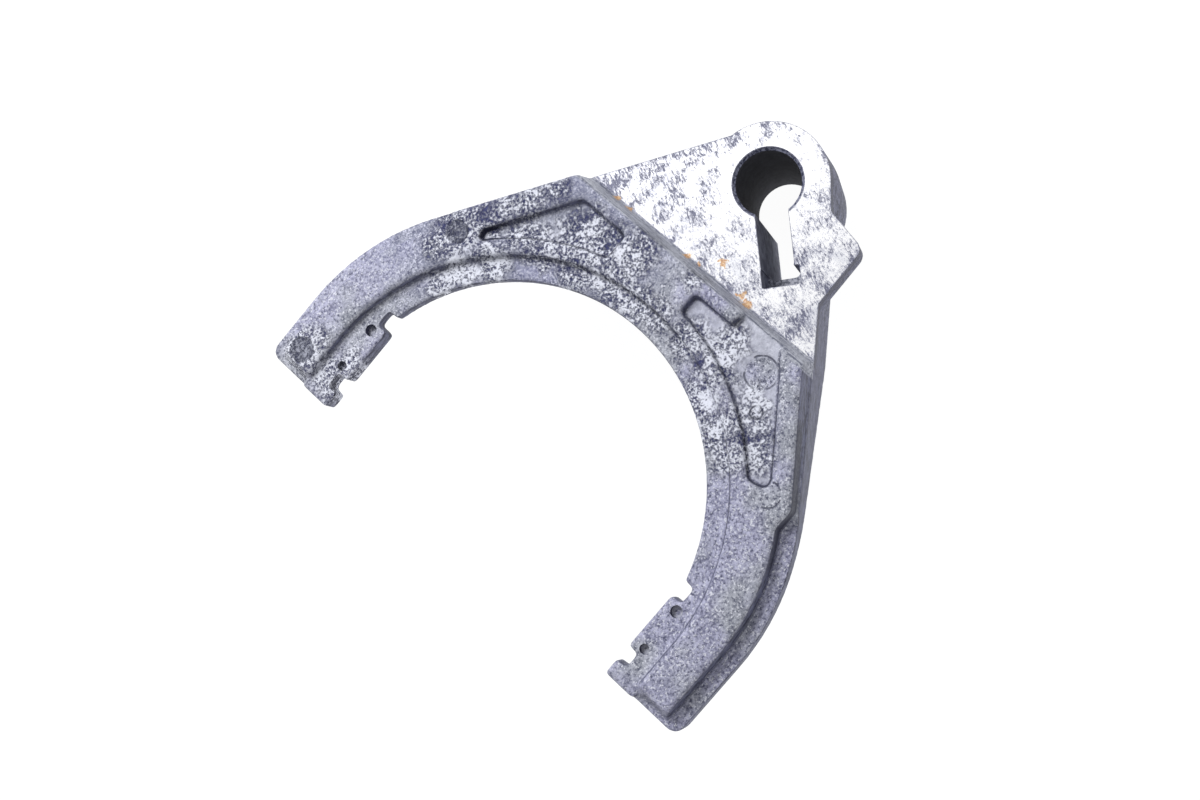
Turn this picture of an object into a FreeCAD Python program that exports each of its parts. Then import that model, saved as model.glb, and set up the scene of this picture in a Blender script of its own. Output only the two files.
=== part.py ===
import FreeCAD, Part
import os
from math import atan2, cos, hypot, pi, radians, sin, sqrt, tan
from FreeCAD import Vector

os.makedirs("parts", exist_ok=True)

# Gearbox shift fork, one aluminium casting.
# Frame: origin on the rail bore axis at the height of the milled hub face, +Z out of that face,
# +X towards the legs, +Y towards the leg on the lobe side.

# Rail bore and hub
bore_r = 14.0
bore_chamfer = 1.4
hub_len = 59.0
hub_r = 26.0
hub_foot_r = 25.8
hub_waist_z = -29.0
hub_waist_r = 27.0

# Key slot beside the bore, and the wider blind pocket at its end
slot_angle = 47.5
slot_half_width = 7.0
slot_end = 37.4
slot_end_round = 3.0
pocket_start = 36.0
pocket_end = 44.0
pocket_side_bore = 9.0
pocket_side_leg = 7.3
pocket_depth = 19.0
pocket_round = 0.9
slot_boss_wall = 6.5

# Stop lobe beside the hub
lobe_thickness = 15.0
lobe_x_near = -3.2
lobe_x_root = -7.0
lobe_y_root = 28.5
lobe_y_tip = 48.8
lobe_round = 4.5
lobe_root_round = 3.0
lobe_foot_x = 2.0
lobe_foot_out = (0.8, 0.6)

# Outer outline of the arms, at the parting line
plate_start_x = -9.0
edge_y0_left = 29.7
edge_slope_left = 0.7125
edge_y0_right = 31.2
edge_slope_right = 0.743
leg_half_width = 122.3
leg_end_x = 194.3
shoulder_round = 107.0
leg_tip_round = 5.0
ledge_z = 9.5
parting_hub_z = 1.5
parting_round = 20.0
draft_deg = 1.5

# Raised upper part of the arms
arm_top_z = 17.5
arm_draft_deg = 5.0
rim_inset = 0.8
high_edge_inset = 7.6
rib_end_x = 95.5
rib_end_round = 2.0
ledge_start_x = 104.0
high_end_top_x = 187.5
high_end_foot_x = 191.8
top_round = 1.4

# Milled face and the step up to the arms
step_foot_x = 45.0
step_top_x = 48.0
step_round = 1.5

# Throat and inner flange
throat_x = 168.0
throat_r = 87.6
pad_half_gap = 84.0
pad_under_z = 3.0
crease_r = 98.4
crease_foot_r = 97.2
under_crease_r = 99.4
flange_top_z = 13.0
flange_under_z = 6.3

# Pad seats on the legs
notch_depth = 5.2
notch_round = 0.8
notch_1_x = (144.6, 152.2)
notch_2_x = (179.6, 186.6)
pad_hole_y = 90.0
pad_hole_x = (156.0, 176.0)
pad_hole_r = (2.6, 2.1)
pad_hole_depth = 3.0

# Pockets in the top of the arms
web_z = 13.5
web_inner_r = 104.5
web_step_x = 54.0
right_web_y = 11.2
left_web_y = -27.0
strip_end_y = 34.5
right_rib_width = 8.6
left_rib_width = 11.0
web_round = 4.0
web_draft_deg = 12.0
strip_end_skew = 3.0
web_end_x_right = 88.0
web_end_x_left = 87.0
rib_bevel = 4.0
rib_bevel_run = 1.0

# Underside
under_hub_z = -43.0
under_leg_z = -3.0
under_leg_fall = 1.0
under_slope_x = (44.0, 106.0)
under_slope_round = (10.0, 40.0)
wall = 7.0
inner_rib_r = 105.5
web_under_z = 6.0
plate_under_z = -10.0
hollow_start_x = 16.0
hollow_end_x = 132.0
centre_rib = 8.0
boss_start = -5.0
boss_round = 8.0

# Ejector marks on the top: x, y, radius, height of the surface they stand in
marks = [(99.3, -86.1, 5.0, arm_top_z), (96.2, 87.9, 5.4, arm_top_z),
         (182.0, -107.5, 5.5, arm_top_z), (61.4, 53.2, 7.0, web_z), (74.8, 62.2, 2.6, web_z)]
mark_depth = 0.5

# Sizes of helper forms: past the part, inside the metal, and just past a face
big = 400.0
buried = 30.0
spare = 5.0
past = 2.0

# How far the raised part's foot stands out beyond its top edge
arm_flare = (arm_top_z - parting_hub_z) * tan(radians(arm_draft_deg))


def inset_corners(corners, d):
    """Corners (x, y, r) of an outline run anticlockwise, every side moved d inwards."""
    n = len(corners)
    out = []
    for i in range(n):
        ax, ay, ar = corners[i - 1]
        bx, by, br = corners[i]
        cx, cy, cr = corners[(i + 1) % n]
        ux, uy = (bx - ax) / hypot(bx - ax, by - ay), (by - ay) / hypot(bx - ax, by - ay)
        vx, vy = (cx - bx) / hypot(cx - bx, cy - by), (cy - by) / hypot(cx - bx, cy - by)
        turn = ux * vy - uy * vx
        half = (1.0 + ux * vx + uy * vy)
        px = bx + d * (-uy - vy) / half
        py = by + d * (ux + vx) / half
        r = br
        if br > 0:
            r = br - d if turn > 0 else br + d
        out.append((px, py, max(r, 0.05) if br > 0 else 0.0))
    return out


def outline(corners, z):
    """Closed wire at height z through corners (x, y, r), each rounded by an arc of radius r."""
    n = len(corners)
    starts, ends, mids = [], [], []
    for i in range(n):
        ax, ay, ar = corners[i - 1]
        bx, by, br = corners[i]
        cx, cy, cr = corners[(i + 1) % n]
        ua, va = (ax - bx), (ay - by)
        la = hypot(ua, va)
        uc, vc = (cx - bx), (cy - by)
        lc = hypot(uc, vc)
        ua, va, uc, vc = ua / la, va / la, uc / lc, vc / lc
        if br <= 0:
            p = Vector(bx, by, z)
            starts.append(p)
            ends.append(p)
            mids.append(None)
            continue
        cosang = ua * uc + va * vc
        half = (pi - atan2(sqrt(max(0.0, 1 - cosang * cosang)), cosang)) / 2
        t = br * tan(half)
        starts.append(Vector(bx + ua * t, by + va * t, z))
        ends.append(Vector(bx + uc * t, by + vc * t, z))
        bis_x, bis_y = ua + uc, va + vc
        lb = hypot(bis_x, bis_y)
        reach = br / cos(half) - br
        mids.append(Vector(bx + bis_x / lb * reach, by + bis_y / lb * reach, z))
    edges = []
    for i in range(n):
        if mids[i] is not None:
            edges.append(Part.Arc(starts[i], mids[i], ends[i]).toShape())
        j = (i + 1) % n
        if (starts[j] - ends[i]).Length > 1e-6:
            edges.append(Part.LineSegment(ends[i], starts[j]).toShape())
    return Part.Wire(edges)


def prism(corners, z0, z1):
    """Straight block on an outline from z0 up to z1."""
    return Part.Face(outline(corners, z0)).extrude(Vector(0, 0, z1 - z0))


def drafted(corners, z0, z1, angle):
    """Block that has the outline at z0 and draws in by the angle towards z1."""
    d = abs(z1 - z0) * tan(radians(angle))
    return Part.makeLoft([outline(corners, z0), outline(inset_corners(corners, d), z1)], True, True)


def side_cut(points):
    """Solid across the whole part from a profile of corners (x, z, r)."""
    face = Part.Face(outline(points, 0))
    face.rotate(Vector(0, 0, 0), Vector(1, 0, 0), 90)
    face.translate(Vector(0, big / 2, 0))
    return face.extrude(Vector(0, -big, 0))


def u_zone(r0, z0, r1, z1):
    """Half round about the throat centre running on as a slot past the leg ends."""
    wires = []
    for r, z in ((r0, z0), (r1, z1)):
        a = Vector(throat_x, r, z)
        m = Vector(throat_x - r, 0, z)
        b = Vector(throat_x, -r, z)
        c = Vector(big, -r, z)
        d = Vector(big, r, z)
        wires.append(Part.Wire([Part.Arc(a, m, b).toShape(), Part.LineSegment(b, c).toShape(),
                                Part.LineSegment(c, d).toShape(), Part.LineSegment(d, a).toShape()]))
    return Part.makeLoft(wires, True, True)


def stacked(corners, levels):
    """Block through one outline at several levels (z, inset), flat-sided between them."""
    return Part.makeLoft([outline(inset_corners(corners, d), z) for z, d in levels], True, True)


def round_over(z, r, d=0.0):
    """Levels (z, inset) that turn a rounded edge of radius r up to a top face at z."""
    half = r * (1 - sqrt(0.5))
    return [(z - r, d), (z - half, d + half), (z, d + r)]


def box(x0, x1, y0, y1, z0, z1):
    """Block between two x, two y and two z values."""
    return Part.makeBox(x1 - x0, y1 - y0, z1 - z0, Vector(x0, y0, z0))


def along_slot(points):
    """Corners given as (distance along the slot, offset to the leg side, r) turned to the frame."""
    c, s = cos(radians(slot_angle)), sin(radians(slot_angle))
    return [(u * c + v * s, u * s - v * c, r) for u, v, r in points][::-1]


def arm_outline():
    """Outer outline of plate, arms and legs, run anticlockwise."""
    right_x = (leg_half_width - edge_y0_right) / edge_slope_right
    left_x = (leg_half_width - edge_y0_left) / edge_slope_left
    return [(plate_start_x, -(edge_y0_left + edge_slope_left * plate_start_x), 0),
            (left_x, -leg_half_width, shoulder_round),
            (leg_end_x, -leg_half_width, leg_tip_round),
            (leg_end_x, leg_half_width, leg_tip_round),
            (right_x, leg_half_width, shoulder_round),
            (plate_start_x, edge_y0_right + edge_slope_right * plate_start_x, 0)]


def arm_top_side(y0, slope):
    """Top edge of one raised arm, from the step to the leg end, as corners (x, y, r)."""
    lean = sqrt(1 + slope * slope)
    rib = y0 - (rim_inset + arm_flare) * lean
    ledge = y0 - high_edge_inset * lean
    leg = leg_half_width - high_edge_inset
    corner_x = (leg - ledge) / slope
    return [(buried, rib + slope * buried, 0),
            (rib_end_x, rib + slope * rib_end_x, rib_end_round),
            (ledge_start_x, ledge + slope * ledge_start_x, rib_end_round),
            (corner_x, leg, shoulder_round - high_edge_inset),
            (leg_end_x + spare, leg, 0)]


def make_arms():
    """Skirt below the parting line, raised part above it, flange round the throat."""
    skirt = drafted(arm_outline(), ledge_z, under_hub_z - spare, draft_deg)
    under = side_cut([(-big, -big, 0), (big, -big, 0), (big, under_leg_z, 0),
                      (under_slope_x[1], under_leg_z - under_leg_fall, under_slope_round[1]),
                      (under_slope_x[0], under_hub_z, under_slope_round[0]), (-big, under_hub_z, 0)])
    over = side_cut([(-big, parting_hub_z, 0), (under_slope_x[0], parting_hub_z, parting_round),
                     (rib_end_x, ledge_z, parting_round), (big, ledge_z, 0), (big, big, 0), (-big, big, 0)])
    skirt = skirt.cut([under, over])

    right = arm_top_side(edge_y0_right, edge_slope_right)
    left = [(x, -y, r) for x, y, r in arm_top_side(edge_y0_left, edge_slope_left)]
    top = left + right[::-1]
    high = stacked(top, [(parting_hub_z, -arm_flare)] + round_over(arm_top_z, top_round))
    run = (high_end_foot_x - high_end_top_x) / (arm_top_z - ledge_z)
    bevel_top = high_end_top_x - run * spare
    high = high.cut(side_cut([(high_end_foot_x, -big, 0), (big, -big, 0), (big, arm_top_z + spare, 0),
                              (bevel_top, arm_top_z + spare, 0), (high_end_foot_x, ledge_z, 0)]))
    flange = box(throat_x - crease_r - past, leg_end_x, -crease_r, crease_r, flange_under_z, flange_top_z)
    flange = flange.common(u_zone(crease_r, flange_under_z - past, crease_r, flange_top_z + past))
    pads = box(notch_1_x[1], leg_end_x, -under_crease_r, under_crease_r, pad_under_z, flange_top_z)
    flange = flange.fuse(pads)
    return skirt, high, flange


def make_hollow():
    """Space under the arms, open downwards, that leaves the outer wall and the rib round the throat."""
    inner = inset_corners(arm_outline(), wall)
    block = prism(inner, -hub_len - past, web_under_z)
    block = block.cut(box(-big, step_foot_x + wall, -big, big, plate_under_z, big))
    block = block.cut(u_zone(inner_rib_r, -big, inner_rib_r, big))
    block = block.cut(box(hollow_end_x, big, -big, big, -big, big))
    block = block.cut(box(-big, big, -centre_rib / 2, centre_rib / 2, -big, big))
    block = block.cut(box(-big, hollow_start_x, -big, big, -big, big))
    half_width = slot_half_width + slot_boss_wall
    end = pocket_end + slot_boss_wall
    boss = prism(along_slot([(boss_start, -half_width, 0), (end, -half_width, boss_round),
                             (end, half_width, boss_round), (boss_start, half_width, 0)]),
                 -hub_len, plate_under_z)
    return block.cut(boss), boss


def make_hub():
    """Barrel round the rail bore, widest at its waist where the dies met."""
    profile = Part.makePolygon([Vector(0, 0, 0), Vector(hub_r, 0, 0), Vector(hub_waist_r, 0, hub_waist_z),
                                Vector(hub_foot_r, 0, -hub_len), Vector(0, 0, -hub_len), Vector(0, 0, 0)])
    return Part.Face(profile).revolve(Vector(0, 0, 0), Vector(0, 0, 1), 360)


def make_lobe():
    """Flat ear beside the hub that stops the fork's travel, its foot run into the plate's edge."""
    wall_x = (lobe_y_tip - edge_y0_right) / edge_slope_right
    hub_touch = hub_r * sin(radians(45))
    corners = [(0.0, 0.0, 0), (wall_x + spare, lobe_y_tip - spare, 0),
               (wall_x + lobe_foot_x, lobe_y_tip + lobe_foot_out[0], 0),
               (wall_x - lobe_foot_x, lobe_y_tip + lobe_foot_out[1], lobe_root_round),
               (lobe_x_near, lobe_y_tip, lobe_round), (lobe_x_root, lobe_y_root, lobe_root_round),
               (-hub_touch, hub_touch, 0)]
    return prism(corners, -lobe_thickness, 0)


skirt, high, flange = make_arms()
hollow, boss = make_hollow()
arms = skirt.fuse(high)
arms = arms.cut(u_zone(under_crease_r, -big, under_crease_r, flange_under_z))
crease_lean = (crease_r - crease_foot_r) / (arm_top_z - flange_top_z)
arms = arms.cut(u_zone(crease_foot_r, flange_top_z, crease_r + crease_lean * past, arm_top_z + past))
arms = arms.fuse(flange)
arms = arms.cut(hollow)

hub = make_hub()
body = arms.fuse([hub, boss, make_lobe()])

# Milled face: the cutter leaves the hub, the lobe and the plate flat up to the step
step_past_x = step_top_x + (step_top_x - step_foot_x)
body = body.cut(side_cut([(-big, 0.0, 0), (step_foot_x, 0.0, step_round), (step_past_x, 2 * arm_top_z, 0),
                          (-big, 2 * arm_top_z, 0)]))

# Throat with the straight pad seats and their notches
pad_x = throat_x - sqrt(throat_r ** 2 - pad_half_gap ** 2)
throat = Part.makeCylinder(throat_r, 2 * big, Vector(throat_x, 0, -big))
throat = throat.common(box(-big, pad_x + past, -pad_half_gap, pad_half_gap, -big, big))
throat = throat.fuse(box(pad_x, big, -pad_half_gap, pad_half_gap, -big, big))
body = body.cut(throat)
for side in (-1, 1):
    for x0, x1 in (notch_1_x, notch_2_x):
        y0, y1 = sorted((side * (pad_half_gap - spare), side * (pad_half_gap + notch_depth)))
        body = body.cut(prism([(x0, y0, notch_round), (x1, y0, notch_round), (x1, y1, notch_round),
                               (x0, y1, notch_round)], -big, big))
    for x, r in zip(pad_hole_x, pad_hole_r):
        foot = Vector(x, side * pad_hole_y, flange_top_z - pad_hole_depth)
        body = body.cut(Part.makeCylinder(r, big, foot))


def web_cut(side, y0, slope, rib_width, y_end, x_end):
    """Pocket in the top of one arm between the centre, the rib by the outer edge and the crease."""
    lean = sqrt(1 + slope * slope)
    rib = y0 - (rim_inset + arm_flare + rib_width) * lean
    corners = [(web_step_x, abs(y_end), web_round / 2),
               (web_inner_r, abs(y_end), 0),
               (x_end + 2 * web_round, rib + slope * (x_end + 2 * web_round), web_round),
               (web_step_x, rib + slope * web_step_x, web_round / 2)]
    if side < 0:
        corners = [(x, -y, r) for x, y, r in corners][::-1]
    depth = arm_top_z - web_z
    flare = depth * tan(radians(web_draft_deg))
    pocket = Part.makeLoft([outline(inset_corners(corners, flare), web_z),
                            outline(inset_corners(corners, -flare), arm_top_z + depth)], True, True)
    ring = u_zone(web_inner_r + flare * (1 + past / depth), web_z - past, web_inner_r - flare, arm_top_z + depth)
    return pocket.cut(ring)


body = body.cut(web_cut(1, edge_y0_right, edge_slope_right, right_rib_width, right_web_y, web_end_x_right))
body = body.cut(web_cut(-1, edge_y0_left, edge_slope_left, left_rib_width, left_web_y, web_end_x_left))

# On the lobe side the web runs out over the step beyond the end of the strip
rib_y0 = edge_y0_right - (rim_inset + arm_flare + right_rib_width) * sqrt(1 + edge_slope_right ** 2)
open_web = [(buried, strip_end_y, 0), (web_step_x + past, strip_end_y - strip_end_skew, 0),
            (web_step_x + past, rib_y0 + edge_slope_right * web_step_x, 0),
            (buried, rib_y0 + edge_slope_right * buried, 0)]
body = body.cut(prism(open_web, web_z, big))

# The end of the rib by the step is bevelled
bevel = side_cut([(step_top_x - rib_bevel_run, arm_top_z - rib_bevel, 0),
                  (step_top_x + rib_bevel, arm_top_z + rib_bevel_run / 2, 0),
                  (step_top_x - rib_bevel_run, arm_top_z + rib_bevel_run / 2, 0)])
rib_y = rib_y0 + edge_slope_right * step_top_x
body = body.cut(bevel.common(box(-big, big, rib_y - past, big, -big, big)))

# Ejector marks
for x, y, r, z in marks:
    body = body.cut(Part.makeCylinder(r, mark_depth + past, Vector(x, y, z - mark_depth)))

# Rail bore with its chamfer, the key slot and the blind pocket
body = body.cut(Part.makeCylinder(bore_r, 2 * big, Vector(0, 0, -big)))
rim = Vector(0, 0, -bore_chamfer)
body = body.cut(Part.makeCone(bore_r, bore_r + 2 * bore_chamfer, 2 * bore_chamfer, rim))
slot = along_slot([(0.0, -slot_half_width, 0), (slot_end, -slot_half_width, slot_end_round),
                   (slot_end, slot_half_width, slot_end_round), (0.0, slot_half_width, 0)])
body = body.cut(prism(slot, -big, big))
pocket = along_slot([(pocket_start, -pocket_side_bore, pocket_round),
                     (pocket_end, -pocket_side_bore, pocket_round),
                     (pocket_end, pocket_side_leg, pocket_round), (pocket_start, pocket_side_leg, pocket_round)])
body = body.cut(prism(pocket, -pocket_depth, big))

solid = body.removeSplitter().Solids[0]
print("solids", len(body.Solids), "volume cm3", round(solid.Volume / 1000, 1), "valid", solid.isValid())
print("box", solid.BoundBox, "faces", len(solid.Faces))
solid.exportStep("parts/fork_body.step")
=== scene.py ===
# %% [markdown]
# A gearbox shift fork is one rough casting that a cutter has touched in two places only: the rail
# bore with its key slot, and the flat face round them. Everything else keeps the skin of the die,
# and this one has lain in the damp, so white oxide has bloomed over it. The shape comes from the
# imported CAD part. This script gives it the soft edges of a casting, the finishes, a floor, light
# and a camera.

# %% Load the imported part
import bmesh
import bpy
import math
import numpy as np
from mathutils import Matrix, Vector


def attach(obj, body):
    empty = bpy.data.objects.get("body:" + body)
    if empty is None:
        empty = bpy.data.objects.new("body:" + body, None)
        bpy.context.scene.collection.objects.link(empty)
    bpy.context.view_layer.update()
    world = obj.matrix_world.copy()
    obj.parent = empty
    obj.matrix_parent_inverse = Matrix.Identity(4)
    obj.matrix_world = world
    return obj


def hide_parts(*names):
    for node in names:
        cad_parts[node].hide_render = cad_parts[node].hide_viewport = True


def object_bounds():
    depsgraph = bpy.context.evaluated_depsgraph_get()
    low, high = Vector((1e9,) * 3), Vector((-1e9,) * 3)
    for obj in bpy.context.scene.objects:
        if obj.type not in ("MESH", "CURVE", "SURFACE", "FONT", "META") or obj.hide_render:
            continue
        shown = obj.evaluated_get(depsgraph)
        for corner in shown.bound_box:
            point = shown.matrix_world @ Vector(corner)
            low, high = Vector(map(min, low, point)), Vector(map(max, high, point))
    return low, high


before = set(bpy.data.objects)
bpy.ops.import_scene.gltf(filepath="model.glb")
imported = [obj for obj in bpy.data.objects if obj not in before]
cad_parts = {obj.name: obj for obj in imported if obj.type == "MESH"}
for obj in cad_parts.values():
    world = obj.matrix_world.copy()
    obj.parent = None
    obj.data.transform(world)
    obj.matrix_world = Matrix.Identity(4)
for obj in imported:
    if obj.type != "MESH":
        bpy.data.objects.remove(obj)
cad_low, cad_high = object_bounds()
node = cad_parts["fork_body"]
print("CAD box", [round(v, 4) for v in (*cad_low, *cad_high)], "triangles", len(node.data.polygons))

MM = 0.001

# %% [markdown]
# A casting has no sharp edge: metal doesn't fill a sharp corner of a die, and handling wears what
# is left. A cutter leaves a crisp edge. A Bevel modifier can't give both here, because bevels
# cross where small faces meet. So the solid is remeshed into an even skin of cells about a
# millimetre wide, which keeps the sharp edges, and then only the cast places are smoothed, so
# their edges and corners turn soft while the machined planes and holes stay true.

# %% Remesh the solid into an even skin
CELL = 1.16
MERGE_WITHIN = 0.002
GRID_DEPTH = 8


def even_skin(source):
    """The source's loose triangles merged, then dual contoured on a grid of CELL mm."""
    bm = bmesh.new()
    bm.from_mesh(source.data)
    bmesh.ops.remove_doubles(bm, verts=bm.verts, dist=MERGE_WITHIN * MM)
    merged = bpy.data.meshes.new("merged")
    bm.to_mesh(merged)
    bm.free()
    carrier = bpy.data.objects.new("carrier", merged)
    bpy.context.scene.collection.objects.link(carrier)
    remesh = carrier.modifiers.new("skin", "REMESH")
    remesh.mode = "SHARP"
    remesh.octree_depth = GRID_DEPTH
    longest = max(cad_high[i] - cad_low[i] for i in range(3))
    remesh.scale = min(0.99, longest / (2 ** GRID_DEPTH * CELL * MM))
    remesh.use_remove_disconnected = True
    shown = carrier.evaluated_get(bpy.context.evaluated_depsgraph_get())
    mesh = bpy.data.meshes.new_from_object(shown)
    bpy.data.objects.remove(carrier)
    bpy.data.meshes.remove(merged)
    return mesh


skin_mesh = even_skin(node)
points = np.empty(len(skin_mesh.vertices) * 3)
skin_mesh.vertices.foreach_get("co", points)
points = points.reshape(-1, 3) / MM
ends = np.empty(len(skin_mesh.edges) * 2, int)
skin_mesh.edges.foreach_get("vertices", ends)
ends = ends.reshape(-1, 2)
print("points", len(points), "faces", len(skin_mesh.polygons))

# %% [markdown]
# The machined places are found by measuring each point: on the milled plane, or within the walls
# of the bore, the slot and its pocket. Smoothing moves every other point towards the middle of
# its neighbours a few times, which rounds an edge by about a millimetre and leaves flat places
# flat.

# %% Keep the machined places and smooth the rest
SLOT_TURN = math.radians(47.5)
BORE_REACH = 15.8
SLOT_REACH = 9.6
SLOT_START, SLOT_STOP = 5.0, 44.7
MILLED_END = 46.0
SMOOTH_AMOUNT, SMOOTH_ROUNDS = 0.5, 6
PAD_HOLES = [(156, 90, 2.6), (176, 90, 2.1), (156, -90, 2.6), (176, -90, 2.1)]
px, py, pz = points.T
along_points = px * math.cos(SLOT_TURN) + py * math.sin(SLOT_TURN)
across_points = px * math.sin(SLOT_TURN) - py * math.cos(SLOT_TURN)
on_plane = (np.abs(pz) < 0.3) & (px < MILLED_END)
in_bore_points = np.hypot(px, py) < BORE_REACH
in_slot_points = ((np.abs(across_points) < SLOT_REACH)
                  & (along_points > SLOT_START) & (along_points < SLOT_STOP))
near_pad_hole = [np.hypot(px - cx, py - cy) < radius + 0.4 for cx, cy, radius in PAD_HOLES]
in_pad_hole = np.any(near_pad_hole, axis=0) & (pz > 9)
free = (~(on_plane | in_bore_points | in_slot_points | in_pad_hole)).astype(float)


def smoothed(points, amount, rounds):
    """Each point moved towards the mean of its neighbours, rounds times: p + amount (mean - p)."""
    count = np.bincount(ends.ravel(), minlength=len(points))[:, None]
    for _ in range(rounds):
        total = np.zeros_like(points)
        for axis in range(3):
            total[:, axis] = np.bincount(ends[:, 0], points[ends[:, 1], axis], len(points))
            total[:, axis] += np.bincount(ends[:, 1], points[ends[:, 0], axis], len(points))
        points = points + (total / np.maximum(count, 1) - points) * (amount * free[:, None])
    return points


soft = smoothed(points, SMOOTH_AMOUNT, SMOOTH_ROUNDS)
soft = np.clip(soft, np.array(cad_low) / MM, np.array(cad_high) / MM)
print("moved most", round(float(np.abs(soft - points).max()), 2), "mm")

# %% Put the soft casting in the scene
SHARP_FROM = 40
skin_mesh.vertices.foreach_set("co", (soft * MM).ravel())
skin_mesh.update()
skin_mesh.name = "fork_casting"
casting = bpy.data.objects.new("fork_casting", skin_mesh)
bpy.context.scene.collection.objects.link(casting)
skin_mesh.shade_smooth()
skin_mesh.set_sharp_from_angle(angle=math.radians(SHARP_FROM))
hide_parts("fork_body")
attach(casting, "root")
skin_mesh.calc_loop_triangles()
print("casting triangles", len(skin_mesh.loop_triangles))

# %% [markdown]
# The finishes are sums of simple patterns, so the shader is written as arithmetic. A small class
# wraps a socket and lets plus, minus, times and the like add the Math nodes, and one method adds
# any other node.

# %% Shader arithmetic


class Value:
    """A node socket that can be used in arithmetic."""

    def __init__(self, tree, socket):
        self.tree = tree
        self.socket = socket

    def node(self, kind, settings=None, values=None, out=0):
        """Add a node: its settings are set, then each named or numbered input is set or linked."""
        made = self.tree.nodes.new(kind)
        for key, setting in (settings or {}).items():
            setattr(made, key, setting)
        for key, value in (values or {}).items():
            socket = made.inputs[key]
            if isinstance(value, Value):
                self.tree.links.new(value.socket, socket)
            else:
                socket.default_value = value
        return Value(self.tree, made.outputs[out]) if len(made.outputs) else None

    def math(self, operation, *others):
        values = {0: self}
        values.update({i + 1: other for i, other in enumerate(others)})
        return self.node("ShaderNodeMath", {"operation": operation}, values)

    def __add__(self, other):
        return self.math("ADD", other)

    __radd__ = __add__

    def __mul__(self, other):
        return self.math("MULTIPLY", other)

    __rmul__ = __mul__

    def __sub__(self, other):
        return self.math("SUBTRACT", other)

    def __rsub__(self, other):
        return (self * -1.0) + other

    def absolute(self):
        return self.math("ABSOLUTE")

    def most(self, other):
        return self.math("MAXIMUM", other)

    def between(self, low, high):
        """0 below low, 1 above high, a smooth rise between; the other way round if low > high."""
        return self.node("ShaderNodeMapRange", {"interpolation_type": "SMOOTHSTEP"},
                         {"Value": self, "From Min": low, "From Max": high})


def mix(mask, a, b):
    """Colour a where the mask is 0 and b where it is 1; each is a linear RGB triple or a value."""
    def colour(c):
        return c if isinstance(c, Value) else (*c, 1.0)
    return mask.node("ShaderNodeMix", {"data_type": "RGBA"},
                     {"Factor": mask, 6: colour(a), 7: colour(b)}, out=2)


def srgb(r, g, b):
    """Linear RGB of a colour given as 0 to 255 screen values."""
    c = np.array([r, g, b], float) / 255
    return tuple(np.where(c < 0.04045, c / 12.92, ((c + 0.055) / 1.055) ** 2.4))


print("shader helpers ready")

# %% [markdown]
# All patterns are read from object coordinates in millimetres, so a speck has its real size.

# %% Start the material
metal = bpy.data.materials.new("aged_casting")
metal.use_nodes = True
tree = metal.node_tree
tree.nodes.clear()
start = Value(tree, None)
place = start.node("ShaderNodeTexCoord", out="Object")
at = place.node("ShaderNodeVectorMath", {"operation": "SCALE"}, {0: place, "Scale": 1 / MM})
normal = start.node("ShaderNodeNewGeometry", out="Normal")


def parts(vector):
    """The three components of a vector."""
    split = vector.tree.nodes.new("ShaderNodeSeparateXYZ")
    vector.tree.links.new(vector.socket, split.inputs[0])
    return [Value(vector.tree, o) for o in split.outputs]


x, y, z = parts(at)
nz = parts(normal)[2]


def noise(size, detail=3.0, rough=0.55, stretch=(1, 1, 1), turn=0.0, warp=0.0, seed=0.0, out=0):
    """Noise from 0 to 1 whose grains are about size mm, and stretch times longer along each axis
    of a frame that is turned by so many degrees about Z."""
    mapped = at.node("ShaderNodeMapping", {"vector_type": "TEXTURE"},
                     {"Vector": at, "Rotation": (0, 0, math.radians(turn)), "Scale": stretch,
                      "Location": (seed * 37.0, seed * 11.0, seed * 5.0)})
    return at.node("ShaderNodeTexNoise", {"noise_dimensions": "3D"},
                   {"Vector": mapped, "Scale": 1.0 / size, "Detail": detail, "Roughness": rough,
                    "Distortion": warp}, out=out)


on_plan = at.node("ShaderNodeVectorMath", {"operation": "MULTIPLY"}, {0: at, 1: (1, 1, 0)})
WANDER = (14, 14, 0)
wander = noise(7.0, detail=3.0, seed=31, out="Color")
wander = wander.node("ShaderNodeVectorMath", {"operation": "SUBTRACT"},
                     {0: wander, 1: (0.5, 0.5, 0.5)})
wander = wander.node("ShaderNodeVectorMath", {"operation": "MULTIPLY"}, {0: wander, 1: WANDER})
ragged_plan = on_plan.node("ShaderNodeVectorMath", {"operation": "ADD"}, {0: on_plan, 1: wander})


def union(masks):
    """The largest of several masks."""
    joined = masks[0]
    for mask in masks[1:]:
        joined = joined.most(mask)
    return joined


def away_from(plan, cx, cy):
    """Distance in mm on the plan from the point (cx, cy)."""
    return plan.node("ShaderNodeVectorMath", {"operation": "DISTANCE"},
                     {0: plan, 1: (cx, cy, 0)}, out="Value")


def patches(places, plan, grow=1.0):
    """1 in the middle of each patch (x, y, radius) on the plan, falling to 0 at grow radii."""
    return union([away_from(plan, cx, cy).between(radius * grow, radius * grow * 0.35)
                  for cx, cy, radius in places])


def shelter(distance, inside=False):
    """How closed in a place is, 0 to 1, by rays of so many mm: high in corners, or with inside, at
    edges that stand out."""
    found = at.node("ShaderNodeAmbientOcclusion",
                    {"samples": 8, "inside": inside, "only_local": True},
                    {"Distance": distance * MM}, out="AO")
    return 1 - found


print("patterns ready")

# %% [markdown]
# Where is what: the milled face lies at height 0, the keyhole's walls are inside it, and a wall
# that stands upright is a side. Each place gets a mask from 0 to 1.

# %% Masks for the machined places, the sides and the pockets
along = x * math.cos(SLOT_TURN) + y * math.sin(SLOT_TURN)
across = x * math.sin(SLOT_TURN) - y * math.cos(SLOT_TURN)
from_axis = (x * x + y * y).math("SQRT")
THROAT_X = 168.0
POCKET_FLOOR_Z = 13.5
KEY_FLOOR_Z = -19.0
from_throat = ((x - THROAT_X) * (x - THROAT_X) + y * y).math("SQRT")

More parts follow.
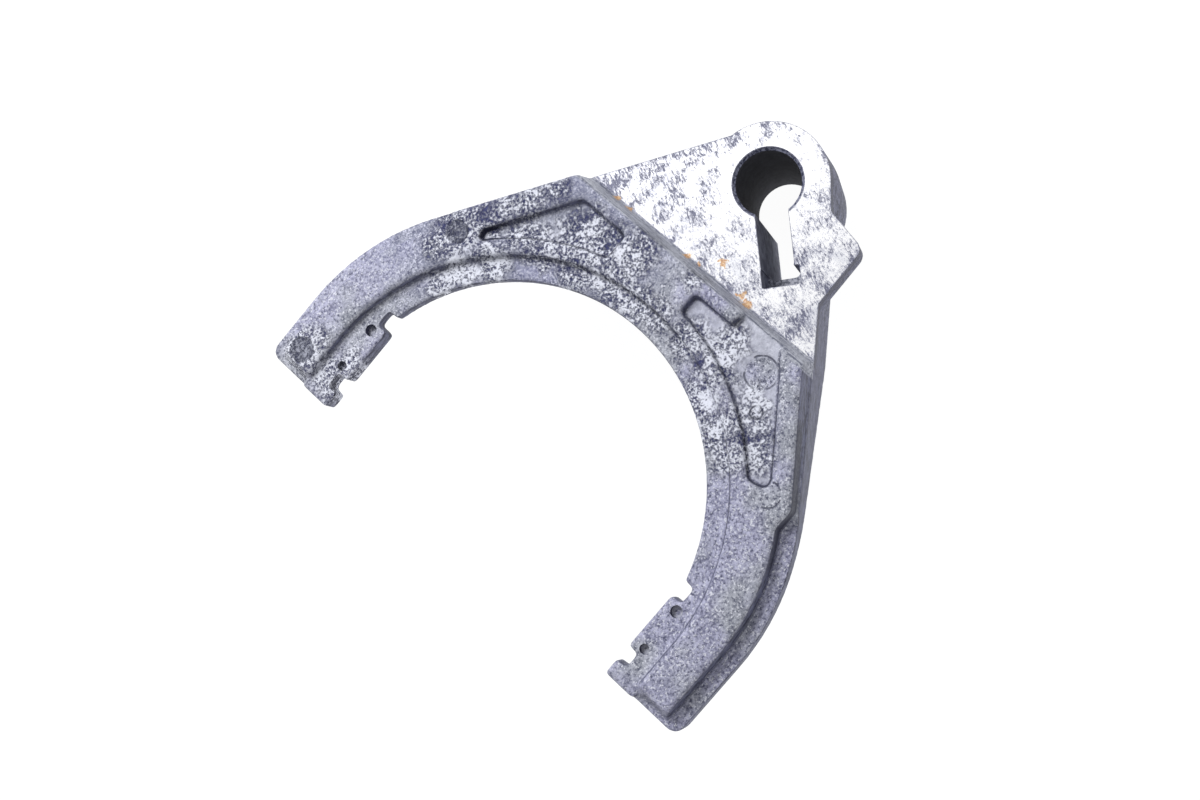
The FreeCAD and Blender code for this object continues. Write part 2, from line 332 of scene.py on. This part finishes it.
up = nz.between(0.80, 0.95)
milled = up * z.absolute().between(0.45, 0.25) * x.between(46.2, 45.4)
in_bore = from_axis.between(15.9, 15.4)
in_slot = across.absolute().between(10.2, 9.8) * along.between(3.0, 5.0) * along.between(45.2, 44.8)
keyhole = in_bore.most(in_slot) * z.between(-0.15, -0.8)
side = nz.absolute().between(0.65, 0.35) * (1 - keyhole)
step_wall = nz.between(0.90, 0.75) * z.between(-0.2, 0.2)
step_wall = step_wall * x.between(44.0, 44.6) * x.between(50.5, 49.5)
pocket_floor = up * (z - POCKET_FLOOR_Z).absolute().between(0.4, 0.2)
pocket_floor = pocket_floor * from_throat.between(104.0, 105.0)
left_arm = y.between(4.0, -12.0)
key_pocket_floor = up * in_slot * (z - KEY_FLOOR_Z).absolute().between(1.2, 0.8)
print("masks ready")

# %% [markdown]
# The die skin: a mid grey with a cool, lavender cast, speckled light and dark at about a
# millimetre, with slow greener and bluer stains a few centimetres wide.

# %% Die skin
stain = noise(30.0, detail=2.0, seed=1)
mottle = noise(5.0, detail=4.0, rough=0.6, seed=2)
speck = noise(1.3, detail=3.0, rough=0.75, seed=3)
grain = noise(0.6, detail=2.0, rough=0.6, seed=4)
skin_tone = (mottle * 0.35 + speck * 0.65).between(0.36, 0.64)
cool = mix(skin_tone, srgb(106, 107, 136), srgb(192, 193, 219))
grey = mix(skin_tone, srgb(104, 108, 124), srgb(188, 191, 203))
skin = mix(stain.between(0.42, 0.60), cool, grey)
dark_specks = speck.between(0.44, 0.36) * 0.8
light_specks = noise(1.0, detail=2.0, rough=0.7, seed=6).between(0.56, 0.63) * 0.85
skin = mix(dark_specks, skin, srgb(78, 81, 106))
skin = mix(light_specks, skin, srgb(228, 230, 240))
print("skin ready")

# %% [markdown]
# The left arm lay where it was wettest and is frosted all over with fine white grains. The pocket
# floors were sheltered and kept a smoother, duller skin.

# %% Frost and pocket floors
frost = noise(0.9, detail=3.0, rough=0.7, seed=7).between(0.50, 0.60)
frost = frost * noise(12.0, seed=8).between(0.35, 0.60)
skin = mix(left_arm * x.between(150.0, 105.0) * 0.5, skin, srgb(104, 108, 144))
skin = mix(frost * left_arm * (0.5 + x.between(150.0, 105.0) * 0.3), skin, srgb(226, 228, 246))
floor_tone = mix(mottle.between(0.4, 0.6), srgb(150, 153, 168), srgb(194, 197, 212))
skin = mix(pocket_floor * 0.55, skin, floor_tone)
skin = mix(pocket_floor * y.between(0.0, 10.0) * 0.4, skin, srgb(206, 208, 224))
print("frost ready")

# %% [markdown]
# White oxide blooms on the arms nearest the hub and at one tip. It grows as crusts with dark pits
# eaten into it: the peaks of one rough noise are the flakes and its valleys are the blue-black
# pits. Patches on the plan say where it grew, and their outlines are made ragged by moving the
# plan's points about before they are measured.

# %% Oxide bloom and pits
BLOOM = [(100, -66, 5), (122, -78, 4), (99, -88, 8), (90, -81, 6), (81, -57, 5), (77, -46, 5),
         (84, -64, 4), (70, -44, 6), (60, -42, 5), (64, -32, 7), (80, -35, 5), (72, -17, 6),
         (73, -6, 5), (70, 5, 4), (51, 8, 3), (70, 22, 5), (65, 35, 5), (58, 36, 4), (73, 38, 6),
         (91, 57, 7), (96, 64, 5), (83, 66, 6), (88, 73, 5), (78, 59, 5), (183, -107, 7),
         (173, -103, 3), (174, -88, 4), (184, -90, 6), (57, -18, 6), (86, 41, 5), (85, -48, 3),
         (80, -77, 4), (70, -70, 4), (60, -64, 4), (110, -90, 4)]
WHITEST = [(112, -76, 6), (110, -70, 4), (77, -26, 4), (61, -42, 4), (60, -21, 4), (83, 44, 4),
           (68, 56, 5), (71, 61, 4), (89, 53, 3), (97, -64, 4), (68, 37, 3)]
DARKEST = [(64, -30, 2), (84, 67, 4), (73, 30, 3), (69, 44, 2.5)]
on_casting = (1 - milled) * (1 - keyhole) * z.between(2.0, 6.0)
bloom = patches(BLOOM, ragged_plan, grow=2.4) * on_casting
whitest = patches(WHITEST, ragged_plan, grow=1.5) * on_casting
darkest = patches(DARKEST, ragged_plan, grow=1.4) * on_casting
flakes = noise(1.15, detail=5.0, rough=0.78, seed=10) * 0.78
flakes = flakes + noise(2.8, detail=2.0, seed=11) * 0.22
flakes = flakes + (noise(9.0, detail=2.0, seed=18) - 0.5) * 0.16
outer_left = left_arm * from_throat.between(106.0, 112.0) * x.between(130.0, 115.0)
flakes = flakes + 0.008 - outer_left * 0.016
flakes = flakes + left_arm * x.between(130.0, 165.0) * 0.02
flakes = flakes + whitest * 0.055 - darkest * 0.05
grown = bloom.most(whitest).most(darkest)
crust = flakes.between(0.480, 0.535) * grown
pits = flakes.between(0.462, 0.405) * grown
skin = mix(grown * flakes.between(0.51, 0.46) * 0.5, skin, srgb(108, 113, 168))
skin = mix(crust * 0.96, skin, srgb(240, 243, 255))
skin = mix(pits * 0.88, skin, srgb(46, 52, 108))
print("bloom patches", len(BLOOM), len(WHITEST), len(DARKEST))

# %% [markdown]
# Corners where a wall meets a floor are darkened, part dirt and part painted shade, and so are
# the steep walls above them. It is thick on the left arm and along the outer ledges. The right
# arm's inner crease is left clean of it and keeps a thin painted highlight.

# %% Dirt and painted shade in the corners
wide_corner = shelter(6.0)
tight_corner = shelter(2.2)
leg_seam = from_throat.between(104.5, 103.5) * x.between(85.0, 100.0)
highlit_crease = y.between(8.0, 26.0) * from_throat.between(101.5, 100.0).most(leg_seam)
pad_holes = patches([(cx, cy, radius + 1.6) for cx, cy, radius in PAD_HOLES], on_plan)
kept = (1 - highlit_crease * 0.9) * (1 - pad_holes * 0.8) * (1 - milled) * (1 - step_wall) * (1 - keyhole)
steep = nz.absolute().between(0.93, 0.75) * z.between(7.5, 9.0)
dirt_and_shade = (wide_corner + (mottle - 0.5) * 0.5).between(0.30, 0.75) * (0.15 + left_arm * 0.25)
dirt_and_shade = dirt_and_shade.most((tight_corner + (speck - 0.5) * 0.4).between(0.20, 0.42))
dirt_and_shade = dirt_and_shade.most(steep * (wide_corner + (speck - 0.5) * 0.3).between(0.06, 0.22)) * kept
# Corners and steep walls get dirt and painted shade in one dark blue-grey.
skin = mix(dirt_and_shade, skin, srgb(24, 28, 58))
# A thin painted highlight along the right arm's inner crease.
glint = highlit_crease * x.between(120.0, 150.0) * tight_corner.between(0.10, 0.30) * up.most(steep)
skin = mix(glint * 0.6, skin, srgb(214, 216, 228))
print("dirt ready")

# %% [markdown]
# Edges that stand out were rubbed by hands and by neighbouring parts, so they are a little
# brighter. Rays sent inwards find them, because near an edge they soon meet the other face.

# %% Worn edges
worn = (shelter(1.3, inside=True) + (speck - 0.5) * 0.5).between(0.38, 0.62) * up.most(0.35)
worn = worn * (1 - milled) * (1 - keyhole) * (1 - dirt_and_shade)
skin = mix(worn * 0.38, skin, srgb(222, 224, 236))
print("worn edges ready")

# %% [markdown]
# The pins that push a casting out of its die leave round marks: a fine ring where the metal crept
# round the pin, with painted shade along its sunk edge, and a slightly sunk, often pitted middle.

# %% Ejector marks
MARKS = [(99.3, -86.1, 5.0), (96.2, 87.9, 5.4), (182.0, -107.5, 5.5), (61.4, 53.2, 7.0),
         (74.8, 62.2, 2.6)]
marks = [(away_from(on_plan, cx, cy) + (mottle - 0.5) * 0.9, radius) for cx, cy, radius in MARKS]
rings_and_shade = union([(away - radius).absolute().between(0.55, 0.15) for away, radius in marks])
discs = union([away.between(radius + 0.2, radius - 0.4) for away, radius in marks])
on_top = up * z.between(12.5, 12.9)
rings_and_shade = rings_and_shade * on_top * noise(7.0, detail=3.0, seed=22).between(0.42, 0.52)
discs = discs * on_top
# The rings are painted dark as painted shade along the marks' sunk edges.
skin = mix(rings_and_shade * 0.75, skin, srgb(54, 58, 84))
skin = mix(discs * left_arm * 0.65, skin, srgb(92, 96, 120))
skin = mix(discs * speck.between(0.50, 0.40) * 0.5, skin, srgb(58, 62, 88))
print("marks", len(MARKS))

# %% [markdown]
# The cutter left the hub's face bright. Shallow pores of the casting and tarnish show in it as
# grey flecks, drawn out along the cutter's path and thicker away from the bore. Its brim is
# painted dark in a thin line along the edge.

# %% Milled face
strokes = noise(0.9, detail=5.0, rough=0.8, stretch=(2.2, 1, 1), turn=68, warp=0.3, seed=12)
clusters = noise(9.0, detail=3.0, rough=0.6, seed=13)
clean_ring = from_axis.between(25.0, 17.0)
flecks = strokes + (clusters - 0.5) * 0.55 - clean_ring * 0.05
flecks = flecks + from_axis.between(20.0, 55.0) * 0.022 + y.between(-14.0, -40.0) * 0.03
tarnish = noise(14.0, detail=3.0, seed=14).between(0.50, 0.68) * from_axis.between(24.0, 44.0)
pores = noise(0.6, detail=3.0, rough=0.75, seed=17) + (clusters - 0.5) * 0.4 - clean_ring * 0.04
bright = mix(tarnish * 0.6, srgb(250, 250, 252), srgb(206, 209, 220))
bright = mix(pores.between(0.52, 0.60) * 0.75, bright, srgb(168, 170, 190))
bright = mix(flecks.between(0.50, 0.57) * 0.75, bright, srgb(174, 176, 192))
bright = mix(flecks.between(0.57, 0.64) * 0.9, bright, srgb(96, 98, 122))
brim = (shelter(0.9, inside=True) + (speck - 0.5) * 0.6).between(0.22, 0.42)
# A thin dark line painted along the milled face's edge.
bright = mix(brim * 0.8, bright, srgb(84, 88, 116))
skin = mix(milled, skin, bright)
print("milled face ready")

# %% [markdown]
# Inside the keyhole little light falls and old oil has stayed: the bore is painted nearly black,
# painted shade and oil, under a mottled rim, and the slot's walls are dark grey. The upright sides
# of the casting are painted darker than its top as painted shade, and show drag lines from the die.
# They are darkest beside the rib, in painted shade, and just under the milled face, where a painted
# shadow follows its edge. The step up from that face was rubbed by the cutter's edge.

# %% Keyhole walls, sides and step
PARTING_Z = -29.0
RIB_SIDE_Z = 12.5
drag = noise(1.0, detail=5.0, rough=0.7, stretch=(5, 5, 1), seed=15)
drag = drag * x.between(24.0, 40.0) + (speck * 0.6 + mottle * 0.4) * x.between(40.0, 24.0)
# The sides are painted darker than the top as painted shade; the drag lines are the die's.
side_tone_and_shade = mix(drag.between(0.40, 0.60), srgb(30, 33, 58), srgb(106, 109, 138))
# Painted shade on the rib's outer wall.
shade_beside_rib = (z - RIB_SIDE_Z + (speck - 0.5) * 4.0).absolute().between(4.5, 3.0)
shade_beside_rib = shade_beside_rib * y.between(50.0, 60.0) * x.between(64.0, 70.0) * x.between(124.0, 116.0)
side_tone_and_shade = mix(shade_beside_rib * 0.85, side_tone_and_shade, srgb(24, 27, 50))
parting = (z - PARTING_Z + (mottle - 0.5) * 1.2).absolute().between(0.7, 0.3)
parting = parting * x.between(30.0, 26.0)
side_tone_and_shade = mix(parting * 0.7, side_tone_and_shade, srgb(58, 60, 82))
# A painted shadow just under the milled face's edge.
shadow_under_rim = (z + (mottle - 0.5) * 8.0).between(-9.0, -5.0) * x.between(47.0, 45.5)
side_tone_and_shade = mix(shadow_under_rim * 0.75, side_tone_and_shade, srgb(36, 38, 60))
skin = mix(side * (1 - step_wall) * (1 - crust) * 0.88, skin, side_tone_and_shade)
scratch = noise(0.8, detail=3.0, rough=0.6, stretch=(1, 14, 1), seed=16)
scratch = scratch * 0.6 + speck * 0.4
step_tone = mix(scratch.between(0.42, 0.57), srgb(104, 108, 126), srgb(192, 195, 206))
skin = mix(step_wall * 0.9, skin, step_tone)
oil_and_shade = mix(mottle.between(0.35, 0.65), srgb(112, 114, 130), srgb(156, 159, 174))
oil_and_shade = mix(drag.between(0.55, 0.7) * 0.5, oil_and_shade, srgb(110, 113, 124))
# The bore is painted nearly black: painted shade with old oil.
oil_and_shade = mix(in_bore * (1 - in_slot) * 0.88, oil_and_shade, srgb(20, 20, 27))
rim = in_bore * z.between(-1.7, -1.3)
oil_and_shade = mix(rim * 0.85, oil_and_shade, mix(speck.between(0.42, 0.60), srgb(50, 54, 82), srgb(150, 153, 176)))
key_floor_tone = mix(speck.between(0.40, 0.60), srgb(120, 123, 138), srgb(206, 208, 220))
oil_and_shade = mix(key_pocket_floor, oil_and_shade, key_floor_tone)
skin = mix(keyhole, skin, oil_and_shade)
print("sides ready")

# %% [markdown]
# Rust isn't aluminium's own: steel dust that stayed in the corner under the step has rusted there
# in a few orange dots.

# %% Rust dots along the step
RUST_DOTS = [(45.2, -46, 3.6), (44.8, -38, 3.0), (44.2, -5.2, 3.2), (43.5, 1.7, 2.0),
             (37.1, 6.3, 1.5), (43.7, 21.6, 3.2), (44.1, 26.4, 3.6)]
dots = patches(RUST_DOTS, ragged_plan)
rust = (dots * noise(0.8, detail=3.0, rough=0.8, seed=21)).between(0.30, 0.46)
rust = rust * z.absolute().between(2.5, 1.5)
rust_tone = mix(grain.between(0.4, 0.6), srgb(184, 120, 66), srgb(230, 194, 142))
rust_stain = dots.between(0.1, 0.8) * z.absolute().between(3.5, 2.5)
skin = mix(rust_stain * 0.25, skin, srgb(206, 190, 160))
skin = mix(rust * 0.85, skin, rust_tone)
print("rust dots", len(RUST_DOTS))

# %% [markdown]
# Relief too fine to model: grain of the skin, crusts that stand up and pits that sink. A Bump
# node reads heights in metres, so the sums below are in millimetres and its distance is one
# millimetre.

# %% Relief, roughness and the shader itself
rough_skin = (1 - milled) * (1 - keyhole)
height = (speck * 0.22 + mottle * 0.25 + grain * 0.10) * rough_skin
height = height + (crust * 0.40 - pits * 0.50) - flecks.between(0.54, 0.70) * milled * 0.05
height = height + drag * side * 0.15 - rings_and_shade * 0.35 - discs * 0.10
bump = height.node("ShaderNodeBump", {}, {"Height": height, "Strength": 1.0, "Distance": MM})
roughness = 0.60 - milled * 0.22 + crust * 0.2 + pits * 0.1 + keyhole * 0.3
metallic = 0.12 + milled * 0.20 - keyhole * 0.12
shader = start.node("ShaderNodeBsdfPrincipled", {},
                    {"Base Color": skin, "Roughness": roughness, "Metallic": metallic,
                     "Normal": bump, "Specular IOR Level": 0.5})
start.node("ShaderNodeOutputMaterial", {}, {"Surface": shader})
casting.data.materials.clear()
casting.data.materials.append(metal)
print("nodes in the material", len(tree.nodes))

# %% [markdown]
# The floor is a plain pale sheet just under the hub, lit from within like a light table, so the
# holes show white and the shadows stay faint. The fork is held by its rail, so its legs stay in
# the air, as they do on the shaft.

# %% Floor
FLOOR_HALF = 3.0
FLOOR_DROP = 0.0002
FLOOR_GLOW = 0.96
corners = np.array([[-1, -1], [1, -1], [1, 1], [-1, 1]], float) * FLOOR_HALF
floor_z = cad_low[2] - FLOOR_DROP
floor_mesh = bpy.data.meshes.new("floor")
floor_mesh.from_pydata(np.column_stack([corners, np.full(4, floor_z)]).tolist(), [], [(0, 1, 2, 3)])
floor = bpy.data.objects.new("floor", floor_mesh)
bpy.context.scene.collection.objects.link(floor)
paper = bpy.data.materials.new("pale_floor")
paper.use_nodes = True
paper_shader = paper.node_tree.nodes["Principled BSDF"]
paper_shader.inputs["Base Color"].default_value = (0.12, 0.12, 0.12, 1)
paper_shader.inputs["Roughness"].default_value = 0.9
paper_shader.inputs["Emission Color"].default_value = (1, 1, 1, 1)
paper_shader.inputs["Emission Strength"].default_value = FLOOR_GLOW
floor_mesh.materials.append(paper)
print("floor at", round(floor_z, 4))

# %% [markdown]
# The photograph was taken from about sixty centimetres, a little off the bore's own line, so the
# hub looks larger than the legs and its bore shows one wall. Distance and lens are what make
# that, so both follow the photograph.

# %% Camera
CAMERA_PLACE = Vector((0.05349, 0.18542, 0.61651))
CAMERA_RIGHT = Vector((-0.642365, 0.722427, -0.255864))
CAMERA_DOWN = Vector((0.759922, 0.643703, -0.090357))
CAMERA_AHEAD = Vector((0.099424, -0.252479, -0.962481))
LENS = 46.035
SHIFT_X, SHIFT_Y = -0.02286, 0.02882
camera_data = bpy.data.cameras.new("camera")
camera_data.sensor_width = 36.0
camera_data.lens = LENS
camera_data.shift_x = SHIFT_X
camera_data.shift_y = SHIFT_Y
camera_data.clip_start = 0.02
camera_data.clip_end = 50.0
camera = bpy.data.objects.new("camera", camera_data)
bpy.context.scene.collection.objects.link(camera)
turned = Matrix((CAMERA_RIGHT, -CAMERA_DOWN, -CAMERA_AHEAD)).transposed().to_4x4()
camera.matrix_world = Matrix.Translation(CAMERA_PLACE) @ turned
bpy.context.scene.camera = camera
print("camera", [round(v, 3) for v in camera.location], "lens", camera_data.lens)

# %% [markdown]
# Soft studio light: an even white surround, and one large lamp high on the photograph's upper
# left that gives the edges a light and a dark side.

# %% Light
SURROUND = 0.42
LAMP_SIZE, LAMP_POWER = 0.5, 15.5
world = bpy.data.worlds.new("studio")
world.use_nodes = True
world.node_tree.nodes["Background"].inputs["Color"].default_value = (1.0, 1.0, 1.0, 1)
world.node_tree.nodes["Background"].inputs["Strength"].default_value = SURROUND
bpy.context.scene.world = world


def soft_lamp(name, place, aim, size, power):
    """A square area lamp at a place, turned to face the aim."""
    data = bpy.data.lights.new(name, "AREA")
    data.shape = "SQUARE"
    data.size = size
    data.energy = power
    lamp = bpy.data.objects.new(name, data)
    bpy.context.scene.collection.objects.link(lamp)
    lamp.location = place
    lamp.rotation_euler = (Vector(aim) - Vector(place)).to_track_quat("-Z", "Y").to_euler()
    return lamp


MIDDLE = Vector((0.08, 0.0, 0.0))
to_left = -CAMERA_RIGHT
to_top = -CAMERA_DOWN
key_place = MIDDLE + (to_left * 0.5 + to_top * 0.8) + Vector((0, 0, 0.9))
soft_lamp("key", key_place, MIDDLE, LAMP_SIZE, LAMP_POWER)
bpy.context.scene.view_settings.view_transform = "Standard"
print("key lamp at", [round(v, 2) for v in key_place])
